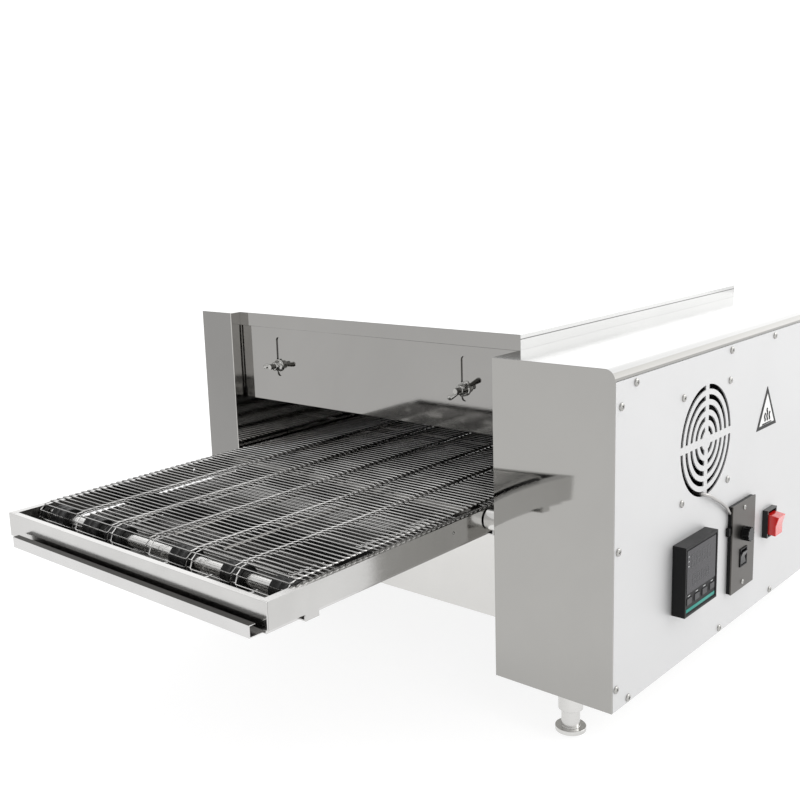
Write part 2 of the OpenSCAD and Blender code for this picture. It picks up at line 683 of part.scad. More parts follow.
base_pan();
lower_panels();
left_cover();
left_inner_wall();
cabinet_cover();
cabinet_chassis();
side_panel();
top_lid();
upper_walls();
chamber_ceiling();
chamber_floor();
insulation();
heating_elements();
rail_left();
rail_right();
end_bars();
cross_members();
belt_support_rods();
shaft_bushes();
conveyor_belt();
gear_motor();
motor_bracket();
drive_chain();
fan_housing();
temp_controller();
speed_control_body();
speed_plate();
main_switch_housing();
panel_screws();
foot_sleeves();
sensor_lead();
cable_gland();
warning_badge();
drive_shaft();
front_idler_shaft();
front_idler_wheels();
rear_idler_shaft();
rear_idler_wheels();
motor_sprocket();
fan_rotor();
front_baffle();
rear_baffle();
wing_nut_front_left();
wing_nut_front_right();
wing_nut_rear_left();
wing_nut_rear_right();
front_crumb_tray();
rear_crumb_tray();
speed_knob();
run_rocker();
main_rocker();
controller_button_1();
controller_button_2();
controller_button_3();
controller_button_4();
foot_front_left();
foot_front_right();
foot_rear_left();
foot_rear_right();
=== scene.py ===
import bpy, bmesh, math, json
import numpy as np
from mathutils import Vector, Matrix

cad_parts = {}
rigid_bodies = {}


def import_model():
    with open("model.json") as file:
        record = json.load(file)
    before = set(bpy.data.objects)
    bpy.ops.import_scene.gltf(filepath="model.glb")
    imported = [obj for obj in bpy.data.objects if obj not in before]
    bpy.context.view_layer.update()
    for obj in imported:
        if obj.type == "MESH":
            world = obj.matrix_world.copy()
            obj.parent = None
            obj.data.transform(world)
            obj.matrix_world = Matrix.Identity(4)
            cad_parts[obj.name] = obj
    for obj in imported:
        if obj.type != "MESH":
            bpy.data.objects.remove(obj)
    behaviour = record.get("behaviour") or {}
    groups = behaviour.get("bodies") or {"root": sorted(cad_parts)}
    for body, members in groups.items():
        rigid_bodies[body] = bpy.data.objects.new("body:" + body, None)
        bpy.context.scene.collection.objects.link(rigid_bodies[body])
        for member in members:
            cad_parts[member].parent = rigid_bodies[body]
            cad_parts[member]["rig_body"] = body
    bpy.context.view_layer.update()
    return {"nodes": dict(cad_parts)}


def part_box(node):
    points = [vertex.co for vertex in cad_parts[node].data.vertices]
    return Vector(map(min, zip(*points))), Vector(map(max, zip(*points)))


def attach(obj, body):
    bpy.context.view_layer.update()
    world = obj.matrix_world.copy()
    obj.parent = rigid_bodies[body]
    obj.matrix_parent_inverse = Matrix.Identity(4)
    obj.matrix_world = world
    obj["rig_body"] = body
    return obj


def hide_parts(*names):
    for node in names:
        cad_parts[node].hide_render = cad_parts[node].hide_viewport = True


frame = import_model()
scene = bpy.context.scene
R = math.radians


CAB_LO, CAB_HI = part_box("cabinet_cover")
SHIFT = (CAB_HI.x * 1000.0 - 128.0, CAB_LO.y * 1000.0, CAB_LO.z * 1000.0)


def P(x, y, z):
    """Design millimetres (cabinet's front lower left corner as zero) to the row frame in metres."""
    return Vector(((x + SHIFT[0]) / 1000.0, (y + SHIFT[1]) / 1000.0, (z + SHIFT[2]) / 1000.0))


MM = 0.001

# ------------------------------------------------------------------ camera
YAW, PITCH, ROLL = R(43.157), R(11.125), R(-2.256)
back = Vector((math.sin(YAW) * math.cos(PITCH), -math.cos(YAW) * math.cos(PITCH), math.sin(PITCH)))
right = Vector((math.cos(YAW), math.sin(YAW), 0.0))
up = back.cross(right)
r2 = right * math.cos(ROLL) + up * math.sin(ROLL)
u2 = -right * math.sin(ROLL) + up * math.cos(ROLL)
cam_data = bpy.data.cameras.new("camera")
cam = bpy.data.objects.new("camera", cam_data)
scene.collection.objects.link(cam)
m = Matrix.Identity(4)
for i in range(3):
    m[i][0], m[i][1], m[i][2] = r2[i], u2[i], back[i]
pos = P(570.41, -803.75, 487.21)
for i in range(3):
    m[i][3] = pos[i]
cam.matrix_world = m
cam_data.sensor_fit = "HORIZONTAL"
cam_data.sensor_width = 36.0
cam_data.lens = 1058.68 / 800.0 * 36.0
cam_data.shift_x = (400.0 - 350.0) / 800.0
cam_data.shift_y = (389.03 - 400.0) / 800.0
cam_data.clip_start = 0.01
cam_data.clip_end = 100.0
scene.camera = cam
scene.view_settings.view_transform = "Standard"


# ------------------------------------------------------------------ materials
def new_mat(name, viewport=(0.6, 0.6, 0.6)):
    mt = bpy.data.materials.new(name)
    mt.use_nodes = True
    mt.diffuse_color = (*viewport, 1)
    nt = mt.node_tree
    bsdf = next(n for n in nt.nodes if n.type == "BSDF_PRINCIPLED")
    return mt, nt, bsdf


def ramp(nt, stops):
    r = nt.nodes.new("ShaderNodeValToRGB")
    els = r.color_ramp.elements
    els[0].position, els[0].color = stops[0][0], (*stops[0][1], 1)
    els[1].position, els[1].color = stops[-1][0], (*stops[-1][1], 1)
    for p, c in stops[1:-1]:
        e = els.new(p)
        e.color = (*c, 1)
    return r


def noise(nt, scale, stretch=(1, 1, 1), detail=3.0, rough=0.5, distortion=0.0, rot=(0, 0, 0)):
    tc = nt.nodes.new("ShaderNodeTexCoord")
    mp = nt.nodes.new("ShaderNodeMapping")
    mp.inputs["Scale"].default_value = stretch
    mp.inputs["Rotation"].default_value = rot
    nt.links.new(tc.outputs["Object"], mp.inputs["Vector"])
    n = nt.nodes.new("ShaderNodeTexNoise")
    n.inputs["Scale"].default_value = scale
    n.inputs["Detail"].default_value = detail
    n.inputs["Roughness"].default_value = rough
    n.inputs["Distortion"].default_value = distortion
    nt.links.new(mp.outputs["Vector"], n.inputs["Vector"])
    return n


def bump(nt, bsdf, src, strength, distance, before=None):
    b = nt.nodes.new("ShaderNodeBump")
    b.inputs["Strength"].default_value = strength
    b.inputs["Distance"].default_value = distance
    nt.links.new(src, b.inputs["Height"])
    if before is not None:
        nt.links.new(before.outputs["Normal"], b.inputs["Normal"])
    nt.links.new(b.outputs["Normal"], bsdf.inputs["Normal"])
    return b


def steel(name, base, rough, grain=(1, 60, 60), grain_scale=60.0, grain_bump=0.06, var=0.07, spread=0.05,
          wave=0.0, dark=None, aniso=0.0, metal=1.0, painted_height_shade=None):
    """Sheet steel: a fine brushed grain along the short axis of `grain`, cloudy wear in its roughness."""
    mt, nt, b = new_mat(name, base)
    b.inputs["Metallic"].default_value = metal
    if aniso:
        b.inputs["Anisotropic"].default_value = aniso
    cloud = noise(nt, 7.0, detail=4.0, rough=0.6, distortion=0.6)
    lo = tuple(c * (1 - var) for c in (dark or base))
    hi = tuple(min(1.0, c * (1 + var)) for c in base)
    cr = ramp(nt, [(0.3, lo), (0.7, hi)])
    nt.links.new(cloud.outputs["Fac"], cr.inputs["Fac"])
    if painted_height_shade:
        # painted shade: the base colour is scaled with height to stand in for the reflected light changing down the
        # sheet: (z of the first tone, its factor, z of the last, its factor)
        tc = nt.nodes.new("ShaderNodeTexCoord")
        sep = nt.nodes.new("ShaderNodeSeparateXYZ")
        nt.links.new(tc.outputs["Object"], sep.inputs["Vector"])
        hr = nt.nodes.new("ShaderNodeMapRange")
        hr.inputs["From Min"].default_value = painted_height_shade[0]
        hr.inputs["From Max"].default_value = painted_height_shade[2]
        hr.inputs["To Min"].default_value = painted_height_shade[1]
        hr.inputs["To Max"].default_value = painted_height_shade[3]
        nt.links.new(sep.outputs["Z"], hr.inputs["Value"])
        sc = nt.nodes.new("ShaderNodeVectorMath")
        sc.operation = "SCALE"
        nt.links.new(cr.outputs["Color"], sc.inputs[0])
        nt.links.new(hr.outputs[0], sc.inputs["Scale"])
        nt.links.new(sc.outputs["Vector"], b.inputs["Base Color"])
    else:
        nt.links.new(cr.outputs["Color"], b.inputs["Base Color"])
    g = noise(nt, grain_scale, stretch=grain, detail=2.0)
    mr = nt.nodes.new("ShaderNodeMapRange")
    mr.inputs["From Min"].default_value = 0.3
    mr.inputs["From Max"].default_value = 0.7
    mr.inputs["To Min"].default_value = max(0.03, rough - spread)
    mr.inputs["To Max"].default_value = rough + spread
    mx = nt.nodes.new("ShaderNodeMath")
    mx.operation = "MULTIPLY_ADD"
    mx.inputs[1].default_value = 0.5
    nt.links.new(g.outputs["Fac"], mx.inputs[0])
    half = nt.nodes.new("ShaderNodeMath")
    half.operation = "MULTIPLY"
    half.inputs[1].default_value = 0.5
    nt.links.new(cloud.outputs["Fac"], half.inputs[0])
    nt.links.new(half.outputs[0], mx.inputs[2])
    nt.links.new(mx.outputs[0], mr.inputs["Value"])
    nt.links.new(mr.outputs[0], b.inputs["Roughness"])
    prev = None
    if wave:
        w = noise(nt, 3.0, detail=1.0)
        prev = bump(nt, b, w.outputs["Fac"], wave, 0.01)
    bump(nt, b, g.outputs["Fac"], grain_bump, 0.0003, prev)
    return mt


def plain(name, base, rough, metal=0.0, grain=0.1, scale=900.0, var=0.08, coat=0.0, spec=None):
    mt, nt, b = new_mat(name, base)
    b.inputs["Metallic"].default_value = metal
    if coat:
        b.inputs["Coat Weight"].default_value = coat
        b.inputs["Coat Roughness"].default_value = 0.08
    if spec is not None:
        b.inputs["Specular IOR Level"].default_value = spec
    n1 = noise(nt, 25.0, detail=4.0, rough=0.6)
    cr = ramp(nt, [(0.3, tuple(c * (1 - var) for c in base)), (0.7, tuple(min(1, c * (1 + var)) for c in base))])
    nt.links.new(n1.outputs["Fac"], cr.inputs["Fac"])
    nt.links.new(cr.outputs["Color"], b.inputs["Base Color"])
    mr = nt.nodes.new("ShaderNodeMapRange")
    mr.inputs["From Min"].default_value = 0.3
    mr.inputs["From Max"].default_value = 0.7
    mr.inputs["To Min"].default_value = max(0.02, rough * 0.85)
    mr.inputs["To Max"].default_value = min(1.0, rough * 1.15)
    nt.links.new(n1.outputs["Fac"], mr.inputs["Value"])
    nt.links.new(mr.outputs[0], b.inputs["Roughness"])
    if grain:
        n2 = noise(nt, scale, detail=2.0)
        bump(nt, b, n2.outputs["Fac"], grain, 0.0002)
    return mt


M = {}
# cabinet steel: painted shade, the base colour darkens with height from factor 1.0 to 0.80
M["panel"] = steel("steel_cabinet_front", (0.43, 0.424, 0.407), 0.045, grain=(60, 60, 1), grain_bump=0.010, wave=0.003, var=0.02, spread=0.012, painted_height_shade=(0.10, 1.0, 0.36, 0.80))
M["post"] = steel("steel_left_cover", (0.245, 0.241, 0.234), 0.07, grain=(60, 60, 1), grain_bump=0.012, wave=0.003, var=0.03, spread=0.02)
M["baffle"] = steel("steel_baffle", (0.305, 0.300, 0.290), 0.035, grain=(1, 60, 60), grain_bump=0.010, wave=0.004, var=0.03, spread=0.015)
# lower panels: painted light, base colour raised well above the cabinet steel so they read as brightly lit
M["lower"] = steel("steel_painted_light_lower_panel", (0.68, 0.672, 0.655), 0.22, grain=(1, 60, 60), grain_bump=0.02, wave=0.004, var=0.03, spread=0.03)
M["panel_h"] = steel("steel_hood", (0.43, 0.43, 0.426), 0.16, grain=(1, 60, 60), grain_bump=0.02, wave=0.006, var=0.03, spread=0.03)
# side panel: painted light, its base colour is raised above the cabinet steel for the brightly lit right side
M["side"] = steel("steel_painted_light_side_panel", (0.575, 0.575, 0.577), 0.50, grain=(60, 1, 60), grain_bump=0.0, wave=0.0, var=0.015, spread=0.03, metal=0.6)
M["rail"] = steel("steel_bright_rail", (0.525, 0.52, 0.51), 0.14, grain=(60, 1, 60), grain_bump=0.02, wave=0.006)
M["bar"] = steel("steel_bright_bar", (0.56, 0.555, 0.545), 0.17, grain=(1, 60, 60), grain_bump=0.02, wave=0.008)
M["tray"] = steel("steel_tray", (0.60, 0.595, 0.59), 0.16, grain=(1, 60, 60), grain_bump=0.02, wave=0.012)
# painted shade: a near-black copy of the tray steel for the trays' upward and inward faces under the belt
M["tray_in"] = steel("steel_tray_inside", (0.10, 0.097, 0.092), 0.30, grain=(1, 60, 60), grain_bump=0.03, var=0.2, spread=0.06)
# painted shade: a dark copy of the steel for surfaces deep in shade: chamber ceiling and floor, the upper walls' hidden
# faces, the rails' inner faces, drive chain, drive shaft and belt support rods
M["dark"] = steel("steel_inside_painted_shade", (0.20, 0.195, 0.185), 0.34, grain=(1, 60, 60), grain_bump=0.03, var=0.25, spread=0.10)
M["inner"] = steel("steel_inner_wall", (0.50, 0.49, 0.475), 0.05, grain=(60, 1, 60), grain_bump=0.01, var=0.15, spread=0.015)
M["shaft"] = steel("steel_shaft", (0.74, 0.735, 0.72), 0.20, grain=(1, 200, 200), grain_scale=40, grain_bump=0.03)
M["wire"] = steel("steel_belt_wire", (0.54, 0.535, 0.525), 0.22, grain=(1, 30, 30), grain_bump=0.03, var=0.30, spread=0.08)
M["screw"] = steel("steel_screw", (0.40, 0.395, 0.38), 0.14, grain=(30, 30, 30), grain_scale=50, grain_bump=0.03, var=0.10)
M["foot"] = steel("steel_foot", (0.66, 0.655, 0.64), 0.20, grain=(40, 40, 1), grain_bump=0.02, var=0.04)
M["floor_in"] = plain("ceramic_steel", (0.12, 0.115, 0.11), 0.55, metal=0.6, var=0.25)
M["wool"] = plain("insulation_wool", (0.72, 0.69, 0.60), 0.95, grain=0.6, scale=300.0, var=0.15)
M["heater"] = plain("heater_tube", (0.10, 0.09, 0.085), 0.5, metal=0.7, var=0.3)
M["black"] = plain("black_plastic", (0.006, 0.006, 0.0065), 0.42, grain=0.12, spec=0.16)
M["black_gloss"] = plain("black_gloss_plastic", (0.004, 0.004, 0.0045), 0.20, grain=0.04, spec=0.30)
M["glass"] = plain("display_glass", (0.024, 0.0225, 0.027), 0.22, grain=0.0, spec=0.25)
M["unlit"] = plain("unlit_segments", (0.032, 0.032, 0.035), 0.3, grain=0.0, spec=0.3)
M["roller"] = plain("roller_black", (0.008, 0.008, 0.008), 0.42, grain=0.15, spec=0.25)
M["motor"] = plain("motor_grey", (0.16, 0.165, 0.17), 0.45, metal=0.2, grain=0.2)
M["bush"] = plain("bush_black", (0.015, 0.015, 0.015), 0.4)
M["plate"] = steel("plate_metal", (0.105, 0.099, 0.092), 0.34, grain=(60, 60, 1), grain_bump=0.04, var=0.12)
M["red"] = plain("red_plastic", (0.55, 0.012, 0.010), 0.16, grain=0.03, coat=0.9)
M["button"] = plain("button_grey", (0.026, 0.026, 0.028), 0.45)
M["cross"] = plain("cross_member_soot", (0.02, 0.02, 0.019), 0.7, metal=0.3, spec=0.2)


def seam_shade_line(mt, z, half, tone):
    """Painted shade: a thin darker line at height z stands in for the shade in a folded sheet's hem."""
    nt = mt.node_tree
    b = next(n for n in nt.nodes if n.type == "BSDF_PRINCIPLED")
    src = b.inputs["Base Color"].links[0].from_socket
    tc = nt.nodes.new("ShaderNodeTexCoord")
    sep = nt.nodes.new("ShaderNodeSeparateXYZ")
    nt.links.new(tc.outputs["Object"], sep.inputs["Vector"])
    prev = sep.outputs["Z"]
    for op, val in (("SUBTRACT", z), ("ABSOLUTE", None), ("LESS_THAN", half)):
        m = nt.nodes.new("ShaderNodeMath")
        m.operation = op
        nt.links.new(prev, m.inputs[0])
        if val is not None:
            m.inputs[1].default_value = val
        prev = m.outputs[0]
    mr = nt.nodes.new("ShaderNodeMapRange")
    mr.inputs["To Min"].default_value = 1.0
    mr.inputs["To Max"].default_value = tone
    nt.links.new(prev, mr.inputs["Value"])
    sc = nt.nodes.new("ShaderNodeVectorMath")
    sc.operation = "SCALE"
    nt.links.new(src, sc.inputs[0])
    nt.links.new(mr.outputs[0], sc.inputs["Scale"])
    nt.links.new(sc.outputs["Vector"], b.inputs["Base Color"])
    return mt


# lid's right-hand side: painted light, a lighter copy of the hood steel, with a painted shade line at the hem
M["lid_side"] = seam_shade_line(steel("steel_lid_side", (0.62, 0.62, 0.615), 0.16, grain=(60, 1, 60), grain_bump=0.02, wave=0.004, var=0.02, spread=0.03),
                     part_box("top_lid")[1][2] - 0.0045, 0.0005, 0.30)
M["badge"] = plain("badge_black", (0.015, 0.015, 0.015), 0.45, grain=0.02, spec=0.2)
M["badge_w"] = plain("badge_white", (0.72, 0.72, 0.71), 0.5, grain=0.02, spec=0.2)
M["lead"] = steel("lead_grey", (0.42, 0.41, 0.40), 0.32, grain=(30, 30, 30), grain_scale=80, grain_bump=0.1)
M["teal"] = plain("teal_print", (0.015, 0.22, 0.18), 0.4, grain=0.02, spec=0.3)
M["print"] = plain("white_print", (0.42, 0.43, 0.43), 0.45, grain=0.02, spec=0.3)


# ------------------------------------------------------------------ mesh helpers
def finish_mesh(o, mats, body, nodes=(), smooth=38.0, weighted=False):
    me = o.data
    me.materials.clear()
    for mt in mats if isinstance(mats, (list, tuple)) else [mats]:
        me.materials.append(mt)
    me.shade_smooth()
    me.set_sharp_from_angle(angle=R(smooth))
    if weighted:
        w = o.modifiers.new("weighted", "WEIGHTED_NORMAL")
        w.keep_sharp = True
    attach(o, body)
    if nodes:
        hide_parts(*nodes)
    return o


def from_bm(bm, name, mats, body, nodes=(), smooth=38.0, weighted=False):
    bmesh.ops.recalc_face_normals(bm, faces=bm.faces[:])
    me = bpy.data.meshes.new(name)
    bm.to_mesh(me)
    bm.free()
    o = bpy.data.objects.new(name, me)
    scene.collection.objects.link(o)
    return finish_mesh(o, mats, body, nodes, smooth, weighted)


def cad_bm(node):
    bm = bmesh.new()
    bm.from_mesh(frame["nodes"][node].data)
    bmesh.ops.remove_doubles(bm, verts=bm.verts[:], dist=2e-6)
    return bm


def body_of_node(node):
    return frame["nodes"][node]["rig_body"]


def refine(node, mats, width=0.3, segs=2, angle=30.0, dissolve=True, smooth=38.0, name=None):
    """A CAD solid with its flat faces made whole and its sharp edges eased."""
    bm = cad_bm(node)
    if dissolve:
        bmesh.ops.dissolve_limit(bm, angle_limit=R(0.6), use_dissolve_boundaries=False,
                                 verts=bm.verts[:], edges=bm.edges[:])
    if width > 0:
        sharp = [e for e in bm.edges if len(e.link_faces) == 2 and e.calc_face_angle(0.0) > R(angle)]
        bmesh.ops.bevel(bm, geom=sharp, offset=width * MM, offset_type="OFFSET", segments=segs,
                        profile=0.5, affect="EDGES", clamp_overlap=True, miter_outer="SHARP")
    return from_bm(bm, name or node + "_piece", mats, body_of_node(node), [node], smooth, True)


def tube_into(bm, pts, r, sides=8, closed=False, cap=True, normal=None):
    """A round tube through pts; the frame is carried along, so it doesn't twist."""
    pts = [Vector(p) for p in pts]
    n = len(pts)
    rings = []
    prev = None
    for i, p in enumerate(pts):
        if closed:
            a, b = pts[(i - 1) % n], pts[(i + 1) % n]
        else:
            a, b = pts[max(0, i - 1)], pts[min(n - 1, i + 1)]
        t = (b - a).normalized()
        if prev is None:
            ref = Vector(normal) if normal is not None else (Vector((0, 0, 1)) if abs(t.z) < 0.9 else Vector((1, 0, 0)))
            u = (ref - t * ref.dot(t)).normalized()
        else:
            u = (prev - t * prev.dot(t)).normalized()
        prev = u
        v = t.cross(u)
        rings.append([bm.verts.new(p + (u * math.cos(2 * math.pi * k / sides) + v * math.sin(2 * math.pi * k / sides)) * r)
                      for k in range(sides)])
    for i in range(n if closed else n - 1):
        a, b = rings[i], rings[(i + 1) % n]
        for k in range(sides):
            bm.faces.new((a[k], a[(k + 1) % sides], b[(k + 1) % sides], b[k]))
    if cap and not closed:
        bm.faces.new(list(reversed(rings[0])))
        bm.faces.new(rings[-1])


def lathe_into(bm, profile, origin, axis, segs=32, mat=0, phase=0.0):
    """profile: (radius, height) pairs in mm, turned about `axis` through `origin`."""
    origin, axis = Vector(origin), Vector(axis).normalized()
    ref = Vector((0, 0, 1)) if abs(axis.z) < 0.9 else Vector((1, 0, 0))
    u = (ref - axis * ref.dot(axis)).normalized()
    v = axis.cross(u)
    rows = []
    for r, h in profile:
        if r < 1e-6:
            rows.append([bm.verts.new(origin + axis * h * MM)])
        else:
            rows.append([bm.verts.new(origin + axis * h * MM + (u * math.cos(phase + 2 * math.pi * k / segs)
                        + v * math.sin(phase + 2 * math.pi * k / segs)) * r * MM) for k in range(segs)])
    made = []
    for a, b in zip(rows, rows[1:]):
        for k in range(segs):
            k2 = (k + 1) % segs
            if len(a) == 1 and len(b) == 1:
                continue
            if len(a) == 1:
                f = bm.faces.new((a[0], b[k], b[k2]))
            elif len(b) == 1:
                f = bm.faces.new((a[k], b[0], a[k2]))
            else:
                f = bm.faces.new((a[k], b[k], b[k2], a[k2]))
            f.material_index = mat
            made.append(f)
    for row in (rows[0], rows[-1]):
        if len(row) > 2:
            f = bm.faces.new(row)
            f.material_index = mat
    return made


def slab_into(bm, lo, hi, ease=0.3, mat=0, segs=2):
    """A block between two corners in metres with eased edges."""
    tmp = bmesh.new()
    bmesh.ops.create_cube(tmp, size=1.0)
    lo, hi = Vector(lo), Vector(hi)
    for v in tmp.verts:
        v.co = Vector(((lo[i] + hi[i]) / 2 + v.co[i] * (hi[i] - lo[i])) for i in range(3))
    if ease:
        bmesh.ops.bevel(tmp, geom=tmp.edges[:], offset=ease * MM, segments=segs, profile=0.5, affect="EDGES", clamp_overlap=True)
    me = bpy.data.meshes.new("tmp")
    tmp.to_mesh(me)
    tmp.free()
    first = len(bm.faces)
    bm.from_mesh(me)
    bpy.data.meshes.remove(me)
    bm.faces.ensure_lookup_table()
    for f in bm.faces[first:]:
        f.material_index = mat


def bow(mt, origin, k):
    """Large, shallow bow of a polished sheet: height a x + b z + c x2 + d x z + e z2 in metres from `origin`."""
    nt = mt.node_tree
    b = next(n for n in nt.nodes if n.type == "BSDF_PRINCIPLED")
    first = b.inputs["Normal"].links[0].from_node
    while first.inputs["Normal"].links:
        first = first.inputs["Normal"].links[0].from_node
    tc = nt.nodes.new("ShaderNodeTexCoord")
    off = nt.nodes.new("ShaderNodeVectorMath")
    off.operation = "SUBTRACT"
    off.inputs[1].default_value = origin
    nt.links.new(tc.outputs["Object"], off.inputs[0])
    sep = nt.nodes.new("ShaderNodeSeparateXYZ")
    nt.links.new(off.outputs["Vector"], sep.inputs["Vector"])

    def madd(x, m_, a_):
        n = nt.nodes.new("ShaderNodeMath")
        n.operation = "MULTIPLY_ADD"
        for i, v in enumerate((x, m_, a_)):
            if isinstance(v, (int, float)):
                n.inputs[i].default_value = v
            else:
                nt.links.new(v, n.inputs[i])
        return n.outputs[0]
    a, b_, c, d, e = k
    inner_x = madd(sep.outputs["X"], c, madd(sep.outputs["Z"], d, a))
    inner_z = madd(sep.outputs["Z"], e, b_)
    h = madd(sep.outputs["X"], inner_x, madd(sep.outputs["Z"], inner_z, 0.0))
    bp = nt.nodes.new("ShaderNodeBump")
    bp.inputs["Strength"].default_value = 1.0
    bp.inputs["Distance"].default_value = 1.0
    nt.links.new(h, bp.inputs["Height"])
    nt.links.new(bp.outputs["Normal"], first.inputs["Normal"])
    return mt


# front sheet: painted shade, its base colour is scaled down to 0.85 low and 0.83 high
M["front"] = bow(steel("steel_front_sheet", (0.43, 0.424, 0.407), 0.028, grain=(60, 60, 1), grain_bump=0.004, var=0.02, spread=0.008, painted_height_shade=(0.10, 0.85, 0.36, 0.83)),
                 P(0, 0, 220), (-0.185, -0.060, 0.541, 0.027, 0.201))


def by_face(o, pick):
    """Material index of every face from its normal and centre (row frame metres)."""
    for f in o.data.polygons:
        f.material_index = pick(f.normal, f.center)
    return o


# ------------------------------------------------------------------ sheet metal straight from the CAD
by_face(refine("cabinet_cover", [M["panel"], M["panel_h"], M["front"]], 0.35),
        lambda n, c: 1 if n.z > 0.6 else (2 if n.y < -0.8 and c.y < CAB_LO.y + 0.001 else 0))
refine("side_panel", M["side"], 0.25)
refine("cabinet_chassis", M["panel"], 0.25)
by_face(refine("left_cover", [M["post"], M["panel_h"]], 0.35), lambda n, c: 1 if n.z > 0.6 or n.x < -0.6 else 0)
refine("left_inner_wall", M["inner"], 0.25)
# the lid's +X faces take the lighter painted-light copy
by_face(refine("top_lid", [M["panel_h"], M["baffle"], M["lid_side"]], 0.35), lambda n, c: 1 if abs(n.y) > 0.6 else 2 if n.x > 0.6 else 0)
# the upper walls' faces other than front and back take the painted-shade steel
by_face(refine("upper_walls", [M["dark"], M["baffle"]], 0.0), lambda n, c: 1 if abs(n.y) > 0.6 else 0)
refine("base_pan", M["panel_h"], 0.25)
refine("lower_panels", M["lower"], 0.25)
refine("front_baffle", M["baffle"], 0.25)
refine("rear_baffle", M["baffle"], 0.25)
# the rails' inner faces, facing the belt, take the painted-shade steel
by_face(refine("rail_left", [M["rail"], M["dark"]], 0.3), lambda n, c: 1 if n.x > 0.6 else 0)
by_face(refine("rail_right", [M["rail"], M["dark"]], 0.3), lambda n, c: 1 if n.x < -0.6 else 0)
refine("end_bars", M["bar"], 0.3)
refine("cross_members", M["cross"], 0.2)
# the trays' upward and inward faces take the painted-shade copy
for n, s in (("front_crumb_tray", 1), ("rear_crumb_tray", -1)):
    by_face(refine(n, [M["tray"], M["tray_in"]], 0.25), lambda v, c: 1 if v.z > 0.6 or v.y * s > 0.6 else 0)
# chamber ceiling and floor take the painted-shade steel
refine("chamber_ceiling", M["dark"], 0.2)
refine("chamber_floor", M["dark"], 0.2)
refine("insulation", M["wool"], 1.0)
refine("heating_elements", M["heater"], 0.2)
refine("motor_bracket", M["panel_h"], 0.2)
refine("gear_motor", M["motor"], 0.5)
refine("drive_chain", M["dark"], 0.1)
refine("fan_housing", M["black"], 0.5)
refine("fan_rotor", M["black"], 0.15)
refine("motor_sprocket", M["shaft"], 0.15)
refine("drive_shaft", M["dark"], 0.12)
refine("belt_support_rods", M["dark"], 0.3)
refine("front_idler_shaft", M["shaft"], 0.4)
refine("rear_idler_shaft", M["shaft"], 0.4)
bushes = refine("shaft_bushes", [M["bush"], M["shaft"]], 0.3)
slo = P(-14.6, 0, 0).x
for f in bushes.data.polygons:
    if f.center.x > slo:
        f.material_index = 1
refine("temp_controller", M["black"], 0.6)
refine("speed_control_body", M["black"], 0.8)
refine("speed_plate", M["plate"], 0.3)
refine("main_switch_housing", M["black_gloss"], 0.5)
refine("cable_gland", M["black"], 0.4)
for k in range(1, 5):
    refine("controller_button_%d" % k, M["button"], 0.5, segs=3)
refine("main_rocker", M["red"], 0.8, segs=3)
refine("run_rocker", M["black_gloss"], 0.6, segs=3)
for n in ("front_left", "front_right", "rear_left", "rear_right"):
    refine("wing_nut_" + n, M["screw"], 0.0, dissolve=False, smooth=50.0)
refine("foot_sleeves", M["foot"], 0.5)


# ------------------------------------------------------------------ feet: turned pads with a stem, their edges eased
for n in ("front_left", "front_right", "rear_left", "rear_right"):
    node = "foot_" + n
    body_name = body_of_node(node)
    src = cad_bm(node)
    bmesh.ops.dissolve_limit(src, angle_limit=R(0.6), use_dissolve_boundaries=False, verts=src.verts[:], edges=src.edges[:])
    sharp = [e for e in src.edges if len(e.link_faces) == 2 and e.calc_face_angle(0.0) > R(30)]
    bmesh.ops.bevel(src, geom=sharp, offset=0.6 * MM, offset_type="OFFSET", segments=3, profile=0.5, affect="EDGES", clamp_overlap=True)
    from_bm(src, node + "_piece", M["foot"], body_name, [node], 38.0, True)


# ------------------------------------------------------------------ wire belt
BELT_PITCH = 7.5
WIRE_R = 0.62
Y_A, Y_B, ZC, RC = -241.0, 831.0, 156.0, 14.0
STRAIGHT = Y_B - Y_A
LOOP = 2 * STRAIGHT + 2 * math.pi * RC
COUNT = int(round(LOOP / BELT_PITCH))
STEP = LOOP / COUNT


def on_loop(s, off=0.0):
    """Point across the belt loop (Y, Z) at arc length s, lifted off the middle line by off, outwards."""
    s %= LOOP
    if s < STRAIGHT:                                    # upper run, towards the rear
        return Y_A + s, ZC + RC + off
    s -= STRAIGHT
    if s < math.pi * RC:                                # rear bend
        a = s / RC
        return Y_B + (RC + off) * math.sin(a), ZC + (RC + off) * math.cos(a)
    s -= math.pi * RC
    if s < STRAIGHT:                                    # lower run, towards the front
        return Y_B - s, ZC - RC - off
    s -= STRAIGHT
    a = s / RC
    return Y_A - (RC + off) * math.sin(a), ZC - (RC + off) * math.cos(a)


BX0, BX1 = -394.6, -25.4
LANES = [BX0 + 3.6 + (BX1 - BX0 - 7.2) * k / 6.0 for k in range(7)]
HALF = 3.4


def strand(k):
    s0 = k * STEP
    path = []                                           # (x, along, lift)

    def add(x, ds, dz):
        path.append((x, s0 + ds, dz))
    hi, lo = 0.45, -0.75
    for j, xc in enumerate(LANES):
        left = [(xc - HALF - 0.8, 0.0, hi), (xc - HALF, 1.0, hi - 0.3), (xc - HALF + 0.2, STEP - 0.6, lo), (xc - HALF + 1.0, STEP + 0.5, lo)]
        rite = [(xc + HALF - 1.0, STEP + 0.5, lo), (xc + HALF - 0.2, STEP - 0.6, lo), (xc + HALF, 1.0, hi - 0.3), (xc + HALF + 0.8, 0.0, hi)]
        if j == 0:
            seq = [(xc + HALF - 0.5, STEP + 0.5, lo)] + left[::-1][0:3] + [(xc - HALF + 0.9, 0.0, hi)]
        elif j == len(LANES) - 1:
            seq = [(xc + HALF - 0.9, 0.0, hi)] + rite[::-1][1:4] + [(xc - HALF + 0.5, STEP + 0.5, lo)]
        else:
            seq = left + rite
        for q in seq:
            add(*q)
    pts = []
    for x, s, dz in path:
        y, z = on_loop(s, dz)
        pts.append(P(x, y, z))
    return pts


